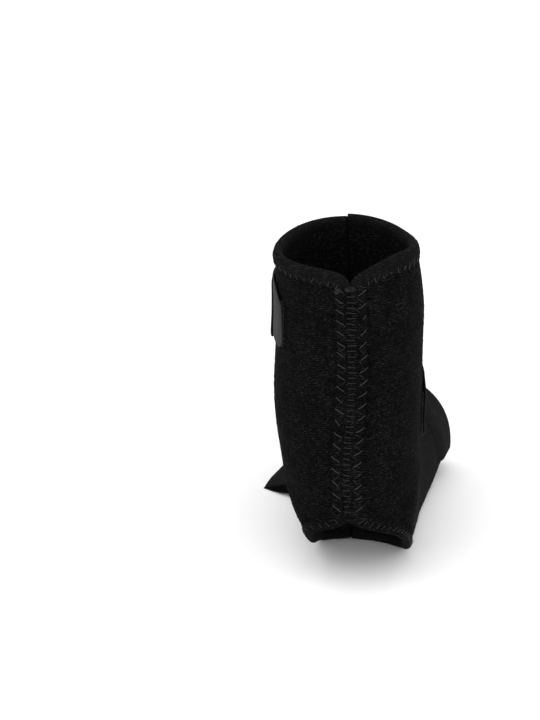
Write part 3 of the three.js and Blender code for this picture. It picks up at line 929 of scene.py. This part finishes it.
def make_tab(name, spec):
    way, per_share = reach_of(spec)
    start, end = tab_shares(spec)
    shares = lerp(start, end, eased(24, 26, 0.32, 1.3))
    left = np.abs(end - shares) * per_share
    halves = [tab_halves(v) for v in left]
    middles = np.full(len(shares), spec["middle_end"] + spec["tab_drop"])
    lift = GAP + spec["peel"] * smooth(1 - left / PEEL_RUN)
    return make_band(name, shares, middles, halves, lift, TAB_THICK, -way)


ankle_strap = make_strap("ankle_strap_cloth", ANKLE_STRAP)
lower_strap = make_strap("lower_strap_cloth", LOWER_STRAP)
ankle_tab = make_tab("hook_tab_tape", ANKLE_STRAP)
side_tab = make_tab("side_hook_tab_tape", LOWER_STRAP)

# %% [markdown]
# ## Hook bristles
# A hook tape's underside is a brush of stiff little hooks.
# Only those along the cut end show, as a fringe of tiny bright bristles in the shadow under the tape.
# A particle system would grow them too, but a short loop puts them exactly along the end.

# %% Bristles along the ends of the hook tabs
BRISTLE_ROWS, BRISTLE_STEP = 3, 0.62


def make_bristles(name, spec):
    basket = ThreadBasket()
    way, per_share = reach_of(spec)
    end = tab_shares(spec)[1]
    middle = spec["middle_end"] + spec["tab_drop"]
    for row in range(BRISTLE_ROWS):
        inset = 0.3 + 0.8 * row
        up, down = tab_halves(inset)
        places = np.arange(-up, down, BRISTLE_STEP)
        places = places + rng.normal(0, 0.1, len(places))
        roots = column_across(end - way * inset / per_share, middle, places)
        reach = 0.75 - 0.8 * row
        places = places + rng.normal(0, 0.25, len(places))
        tips = column_across(end + way * reach / per_share, middle, places)
        for root, tip in zip(roots, tips):
            a = laid_on(root, GAP + 0.6 * spec["peel"])
            b = laid_on(tip, GAP * 0.5 + rng.uniform(0.0, 0.5))
            basket.add([a, lerp(a, b, 0.5), b], 0.09, sides=3)
    return basket.mesh(name)


ankle_bristles = make_bristles("hook_tab_bristles", ANKLE_STRAP)
side_bristles = make_bristles("side_hook_tab_bristles", LOWER_STRAP)

# %% [markdown]
# ## The foot wrap
# A smooth band goes over the instep. Its loose end leaves the inner side and comes down to the floor.
# A simulation would let it fall flat, but the real one is springy foam, so its end is a simple curve.
# The shadow under the end's rear edge is painted on in deep black over a wedge, which a mask hands to the
# material.

# %% Make the foot wrap
WRAP_REAR, WRAP_TOE, WRAP_SLANT = 9.95, 11.72, 1.0
WRAP_FROM, WRAP_LEAVE = 0.57, -0.66
FLAP_REAR = np.array([-0.64 * ANKLE_WIDTH, 0.745 * REACH])
FLAP_TOE = np.array([-0.46 * ANKLE_WIDTH, 0.955 * REACH])
FLAP_LIFT = 0.3
FLAP_STEPS = 18
WRAP_PROFILE = np.array([[0, -0.15, 0.0], [0.04, -0.12, 0.16], [0.14, -0.02, 0.6],
                         [0.3, 0, 1], [0.97, 0, 1], [1, 0.28, 0.72]])
# Widest reach of the painted shadow in from the loose end's rear edge, in mm.
PAINTED_SHADOW_REACH = 20.0


def wrap_rear(share):
    return WRAP_REAR + WRAP_SLANT * float(smooth((share - 0.15) / 0.45))


def wrap_line(f, shares):
    points = [from_front(lerp(wrap_rear(s), WRAP_TOE, f), s) for s in shares]
    last = points[-1]
    way = unit(last - points[-5])
    end = np.array([*lerp(FLAP_REAR, FLAP_TOE, f), FLAP_LIFT - WRAP_GAP])
    handle = last + way * np.linalg.norm(last - end) * 0.45
    for f in np.linspace(0, 1, FLAP_STEPS + 1)[1:]:
        points.append((1 - f) ** 2 * last + 2 * f * (1 - f) * handle + f * f * end)
    return np.array(points)


def make_wrap():
    across = (ACROSS + 1) / 2
    shares = np.linspace(WRAP_FROM, WRAP_LEAVE, 110)
    grid = np.array([wrap_line(f, shares) for f in across])
    low, high = (np.interp(across, WRAP_PROFILE[:, 0], WRAP_PROFILE[:, k])[:, None] for k in (1, 2))
    column = np.arange(grid.shape[1])
    end = np.minimum(column, column[::-1])
    round_end = (0.45 + 0.55 * np.clip(end / 2, 0, 1) ** 0.5)[None, :]
    middle, half = (low + high) / 2, (high - low) / 2 * round_end
    wrap = cloth_from_grid("foot_wrap_cloth", grid, WRAP_GAP + WRAP_THICK * (middle - half),
                           WRAP_GAP + WRAP_THICK * (middle + half), 1)
    # The loose end's rear edge is painted near black over a wedge: a painted shadow of the dark gap under
    # it.
    flap = np.clip((column - len(shares)) / FLAP_STEPS, 0, 1)
    wedge = PAINTED_SHADOW_REACH * (1 - flap) * smooth(flap * 12)
    painted_shadow = smooth((wedge[None, :] - lengths_along(grid, 0)) / 0.8 + 0.5)
    add_mask(wrap, "painted_shadow_wedge", painted_shadow * (flap > 0)[None, :])
    return wrap


foot_wrap = make_wrap()

# %% [markdown]
# ## Cloth finishes
# Black cloth is only convincing if its surface breaks up the light.
# The body's looped pile is rows of small knots with dark gaps, so one group makes knots from stretched
# cells and hands out their height and shade. It reads the object's own millimetres, so the rows run on
# over every fold of the wall. A second group makes the fine knit of straps and thread from their UVs.
# Image textures would be simpler, but would blur close up and stretch where the body widens.

# %% Small helpers for shader nodes
def new_group(name, inputs, outputs):
    group = bpy.data.node_groups.new(name, "ShaderNodeTree")
    group.interface.new_socket("Vector", in_out="INPUT", socket_type="NodeSocketVector")
    for socket, value in inputs.items():
        made = group.interface.new_socket(socket, in_out="INPUT", socket_type="NodeSocketFloat")
        made.default_value = value
    for socket in outputs:
        group.interface.new_socket(socket, in_out="OUTPUT", socket_type="NodeSocketFloat")
    return group, group.nodes.new("NodeGroupInput").outputs, group.nodes.new("NodeGroupOutput").inputs


def fill(tree, sockets, values):
    """Gives input sockets their values: a link from another node, or a constant."""
    for socket, value in values.items():
        if hasattr(value, "is_output"):
            tree.links.new(value, sockets[socket])
        else:
            sockets[socket].default_value = value


def add(tree, kind, values, **settings):
    """Adds a node with these settings and input values, and hands back its outputs."""
    node = tree.nodes.new(kind)
    for key, setting in settings.items():
        setattr(node, key, setting)
    fill(tree, node.inputs, values)
    return node.outputs


def maths(tree, operation, a, b=None):
    values = {0: a} if b is None else {0: a, 1: b}
    return add(tree, "ShaderNodeMath", values, operation=operation)[0]


def times(tree, first, *others):
    for other in others:
        first = maths(tree, "MULTIPLY", first, other)
    return first


def map_range(tree, value, low, high, to_low=0.0, to_high=1.0):
    values = {"Value": value, "From Min": low, "From Max": high, "To Min": to_low, "To Max": to_high}
    return add(tree, "ShaderNodeMapRange", values, interpolation_type="SMOOTHSTEP")["Result"]


def noise(tree, vector, scale, detail, dimensions="3D"):
    values = {"Vector": vector, "Scale": scale, "Detail": detail}
    return add(tree, "ShaderNodeTexNoise", values, noise_dimensions=dimensions)["Fac"]


def cells(tree, vector, scale, randomness):
    values = {"Vector": vector, "Scale": scale, "Randomness": randomness}
    return add(tree, "ShaderNodeTexVoronoi", values, voronoi_dimensions="3D", feature="F1")


def mix(tree, factor, a, b):
    return add(tree, "ShaderNodeMix", {"Factor": factor, "A": a, "B": b}, data_type="RGBA")["Result"]

# %% A group for looped pile
def build_pile_group():
    """Rows of knots; each row is slid along by its own random amount, so that no columns show."""
    sizes = {"Row mm": 1.25, "Dash mm": 1.6, "Lean": 0.1}
    group, given, handed = new_group("looped_pile", sizes, ["Height", "Shade", "Lint"])
    scaled = {0: given["Vector"], "Scale": 1000}
    mm = add(group, "ShaderNodeVectorMath", scaled, operation="SCALE")[0]
    x, y, z = add(group, "ShaderNodeSeparateXYZ", {0: mm})
    level = maths(group, "SUBTRACT", z, times(group, x, given["Lean"]))
    bend = times(group, noise(group, mm, 0.16, 3), 3.2)
    row = maths(group, "ADD", maths(group, "DIVIDE", level, given["Row mm"]), bend)
    whole_row = maths(group, "FLOOR", row)
    shift = add(group, "ShaderNodeTexWhiteNoise", {"W": whole_row}, noise_dimensions="1D")
    slide = times(group, shift["Value"], 9.0)
    dashes = [maths(group, "DIVIDE", v, given["Dash mm"]) for v in (x, y)]
    slid = [maths(group, "ADD", v, slide) for v in dashes]
    place = add(group, "ShaderNodeCombineXYZ", {0: slid[0], 1: slid[1], 2: row})[0]
    knots = cells(group, place, 1.0, 0.75)
    specks = cells(group, mm, 0.42, 1.0)
    fluff = noise(group, mm, 2.3, 4)
    cloud = noise(group, mm, 0.09, 3)
    wave = maths(group, "SINE", times(group, maths(group, "FRACT", row), math.pi))
    blob = map_range(group, knots["Distance"], 0.12, 0.85, 1.0, 0.15)
    knot = times(group, blob, map_range(group, wave, 0.1, 0.9, 0.05, 1.0))
    tint = add(group, "ShaderNodeSeparateColor", {0: knots["Color"]})[0]
    chosen = add(group, "ShaderNodeSeparateColor", {0: specks["Color"]})[0]
    uneven = map_range(group, fluff, 0.35, 0.65, 0.15, 1.1)
    own = maths(group, "ADD", times(group, tint, 0.75), 0.25)
    slow = map_range(group, cloud, 0.3, 0.7, 0.7, 1.25)
    spot = map_range(group, specks["Distance"], 0.05, 0.17, 1.0, 0.0)
    fill(group, handed, {
        "Height": maths(group, "ADD", knot, times(group, fluff, 0.7)),
        "Shade": times(group, knot, uneven, own, slow),
        "Lint": times(group, spot, maths(group, "GREATER_THAN", chosen, 0.8))})
    return group


PILE = build_pile_group()
print("shader group:", PILE.name, "nodes:", len(PILE.nodes))

# %% A group for smooth knit
def build_knit_group():
    """Fine ribs with grain and slow clouds of shade."""
    group, given, handed = new_group("smooth_knit", {"Pitch mm": 0.8}, ["Height", "Shade"])
    pitch = add(group, "ShaderNodeCombineXYZ", {k: given["Pitch mm"] for k in range(3)})[0]
    place = add(group, "ShaderNodeVectorMath", {0: given["Vector"], 1: pitch}, operation="DIVIDE")[0]
    values = {"Vector": place, "Scale": 0.31, "Distortion": 1.2, "Detail Scale": 2.0}
    bands = {"wave_type": "BANDS", "bands_direction": "X", "wave_profile": "SIN"}
    ribs = add(group, "ShaderNodeTexWave", values, **bands)["Fac"]
    grain = noise(group, place, 0.9, 5, "2D")
    cloud = noise(group, place, 0.12, 4, "2D")
    mottled = map_range(group, cloud, 0.3, 0.7, 0.6, 1.0)
    ribbed = maths(group, "ADD", times(group, ribs, 0.3), 0.7)
    fine = map_range(group, grain, 0.3, 0.7, 0.3, 1.0)
    fill(group, handed, {
        "Height": maths(group, "ADD", times(group, ribs, 0.5), grain),
        "Shade": times(group, mottled, ribbed, fine)})
    return group


KNIT = build_knit_group()
print("shader group:", KNIT.name, "nodes:", len(KNIT.nodes))

# %% Cloth materials
def grey(level, blue):
    return (level, level, blue, 1)


PILE_DARK, PILE_LIGHT = grey(0.0008, 0.0009), grey(0.022, 0.023)
PLAIN_DARK, PLAIN_LIGHT = grey(0.006, 0.0064), grey(0.019, 0.02)
LINT = grey(0.035, 0.037)
# Near black of the painted shadow under the loose end of the foot wrap.
PAINTED_SHADOW_BLACK = grey(0.0006, 0.0007)


def new_material(name, roughness, specular):
    material = bpy.data.materials.new(name)
    material.use_nodes = True
    shader = material.node_tree.nodes["Principled BSDF"]
    shader.inputs["Roughness"].default_value = roughness
    shader.inputs["Specular IOR Level"].default_value = specular
    return material, material.node_tree, shader.inputs


def mask_of(tree, name):
    return add(tree, "ShaderNodeAttribute", {}, attribute_name=name, attribute_type="GEOMETRY")["Fac"]


def bumped(tree, height, strength, depth):
    values = {"Height": height, "Strength": strength, "Distance": depth * MM}
    return add(tree, "ShaderNodeBump", values)["Normal"]


def knit_material(name, pitch, dark, light, bump, depth, roughness, specular, edge=None):
    """Smooth knit; edge names a mask that says where a shadow is painted on in deep black."""
    material, tree, shader = new_material(name, roughness, specular)
    coords = add(tree, "ShaderNodeUVMap", {}, uv_map="cloth_mm")[0]
    weave = add(tree, "ShaderNodeGroup", {"Vector": coords, "Pitch mm": pitch}, node_tree=KNIT)
    colour = mix(tree, weave["Shade"], dark, light)
    if edge is not None:
        colour = mix(tree, mask_of(tree, edge), colour, PAINTED_SHADOW_BLACK)
    fill(tree, shader, {"Base Color": colour, "Normal": bumped(tree, weave["Height"], bump, depth)})
    return material


def pile_material(name, lean):
    """Looped pile, turning into smooth knit where the mask says so."""
    material, tree, shader = new_material(name, 0.95, 0.035)
    coords = add(tree, "ShaderNodeTexCoord", {})["Object"]
    weave = add(tree, "ShaderNodeGroup", {"Vector": coords, "Lean": lean}, node_tree=PILE)
    smooth_part = mask_of(tree, "smooth_part")
    knots = mix(tree, weave["Shade"], PILE_DARK, PILE_LIGHT)
    plain = mix(tree, weave["Shade"], PLAIN_DARK, PLAIN_LIGHT)
    whole = mix(tree, smooth_part, knots, plain)
    tall = times(tree, weave["Height"], map_range(tree, smooth_part, 0, 1, 1.0, 0.35))
    linted = mix(tree, weave["Lint"], whole, LINT)
    fill(tree, shader, {"Base Color": linted, "Normal": bumped(tree, tall, 0.9, 0.55)})
    return material


# Each row: knit pitch in mm, dark and light, bump and its depth in mm, roughness, specular, painted
# shadow mask.
KNITS = {
    "strap_black": (0.7, grey(0.007, 0.0075), grey(0.013, 0.014), 0.5, 0.12, 0.95, 0.06),
    "wrap_black": (0.6, grey(0.006, 0.0064), grey(0.015, 0.016), 0.5, 0.14, 0.95, 0.04, "painted_shadow_wedge"),
    "hook_grey": (0.45, grey(0.013, 0.014), grey(0.026, 0.028), 0.5, 0.14, 0.7, 0.12),
    "hook_black": (0.45, grey(0.006, 0.0065), grey(0.012, 0.013), 0.3, 0.08, 0.7, 0.1),
    # One black thread in two copies: the lighter one is a painted highlight, the darker one painted
    # shade.
    "thread_painted_lit": (0.35, grey(0.010, 0.011), grey(0.038, 0.040), 0.3, 0.05, 0.45, 0.35),
    "thread_painted_shade": (0.35, grey(0.008, 0.0085), grey(0.028, 0.029), 0.3, 0.05, 0.6, 0.2),
    "fibre_black": (0.3, grey(0.006, 0.0065), grey(0.024, 0.025), 0.2, 0.03, 0.6, 0.1),
    "bristle_grey": (0.35, grey(0.02, 0.021), grey(0.09, 0.093), 0.2, 0.03, 0.4, 0.5),
}
finishes = {name: knit_material(name, *row) for name, row in KNITS.items()}
for name, lean in (("pile_inner", 0.29), ("pile_outer", 0.07)):
    finishes[name] = pile_material(name, lean)
print("materials:", sorted(finishes))

# %% Dress the pieces
def finish(piece, material, slot, *nodes):
    piece.data.materials.clear()
    piece.data.materials.append(finishes[material])
    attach(piece, "root")
    if nodes:
        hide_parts(*nodes)


finish(outer_cloth, "pile_outer", "outer_panel", "outer_panel")
finish(inner_cloth, "pile_inner", "inner_panel", "inner_panel")
finish(fibre_piece, "fibre_black", "outer_panel")
finish(ladder_piece, "thread_painted_shade", "back_seam", "back_seam")
finish(zigzag_piece, "thread_painted_lit", "back_seam")
finish(hem_piece, "thread_painted_lit", "back_seam")
finish(dull_hem_piece, "thread_painted_shade", "back_seam")
finish(ankle_strap, "strap_black", "ankle_strap", "ankle_strap")
finish(lower_strap, "strap_black", "lower_strap", "lower_strap")
finish(ankle_tab, "hook_grey", "hook_tab", "hook_tab")
finish(side_tab, "hook_black", "side_hook_tab", "side_hook_tab")
finish(ankle_bristles, "bristle_grey", "hook_tab")
finish(side_bristles, "bristle_grey", "side_hook_tab")
finish(foot_wrap, "wrap_black", "foot_wrap", "foot_wrap")
print("pieces dressed:", len(pieces))


# %% [markdown]
# ## Floor, light and camera
# The brace stands on a white floor in an even white room, so only soft shadows lie under it.
# One large soft light above and two small ones at the sides shape the dark cloth.
# A single hard lamp would be easier to aim, but its shadow would be too dark for a studio photo.

# %% Stage
FLOOR_HALF = 6.0
LIGHTS = [("soft_top", (-0.3, -0.5, 1.4), 1.2, 9),
          ("soft_left", (-1.3, -0.4, 0.7), 1.0, 2),
          ("soft_right", (1.2, -0.2, 0.6), 0.8, 4)]
LIGHT_AIM = Vector((0, 0, 0.1))


def make_floor():
    mesh = bpy.data.meshes.new("floor")
    corners = [(x * FLOOR_HALF, y * FLOOR_HALF, 0) for x, y in ((-1, -1), (1, -1), (1, 1), (-1, 1))]
    mesh.from_pydata(corners, [], [(0, 1, 2, 3)])
    floor = bpy.data.objects.new("floor", mesh)
    bpy.context.scene.collection.objects.link(floor)
    material, _, shader = new_material("floor_white", 0.9, 0.1)
    shader["Base Color"].default_value = (0.93, 0.93, 0.93, 1)
    mesh.materials.append(material)


def make_light(name, place, size, power):
    data = bpy.data.lights.new(name, "AREA")
    data.shape = "SQUARE"
    data.size = size
    data.energy = power
    lamp = bpy.data.objects.new(name, data)
    lamp.location = place
    lamp.rotation_euler = (LIGHT_AIM - Vector(place)).to_track_quat("-Z", "Y").to_euler()
    bpy.context.scene.collection.objects.link(lamp)


make_floor()
for light in LIGHTS:
    make_light(*light)
world = bpy.data.worlds.new("studio")
bpy.context.scene.world = world
world.use_nodes = True
background = world.node_tree.nodes["Background"].inputs
fill(world.node_tree, background, {"Color": (1, 1, 1, 1), "Strength": 1.0})
bpy.context.scene.view_settings.view_transform = "Standard"

# %% Camera
CAMERA_PLACE = np.array([0.0, -911.24, 611.42])
CAMERA_PAN = math.radians(2.659)
CAMERA_TILT = math.radians(-27.166)

camera = bpy.data.objects.new("camera", bpy.data.cameras.new("camera"))
bpy.context.scene.collection.objects.link(camera)
bpy.context.scene.camera = camera
camera.data.sensor_fit = "VERTICAL"
camera.data.sensor_height = 36
camera.data.lens = 100
camera.data.clip_end = 20
ahead = math.cos(CAMERA_TILT)
look = Vector((-math.sin(CAMERA_PAN) * ahead, math.cos(CAMERA_PAN) * ahead, math.sin(CAMERA_TILT)))
camera.location = Vector((CAMERA_PLACE + PLACE) * MM)
camera.rotation_euler = look.to_track_quat("-Z", "Y").to_euler()
print("camera at, m:", [round(v, 3) for v in camera.location])

# %% Count the triangles and finish
for piece in pieces.values():
    piece.data.calc_loop_triangles()
print("triangles in all:", sum(len(piece.data.loop_triangles) for piece in pieces.values()))
bpy.context.view_layer.update()
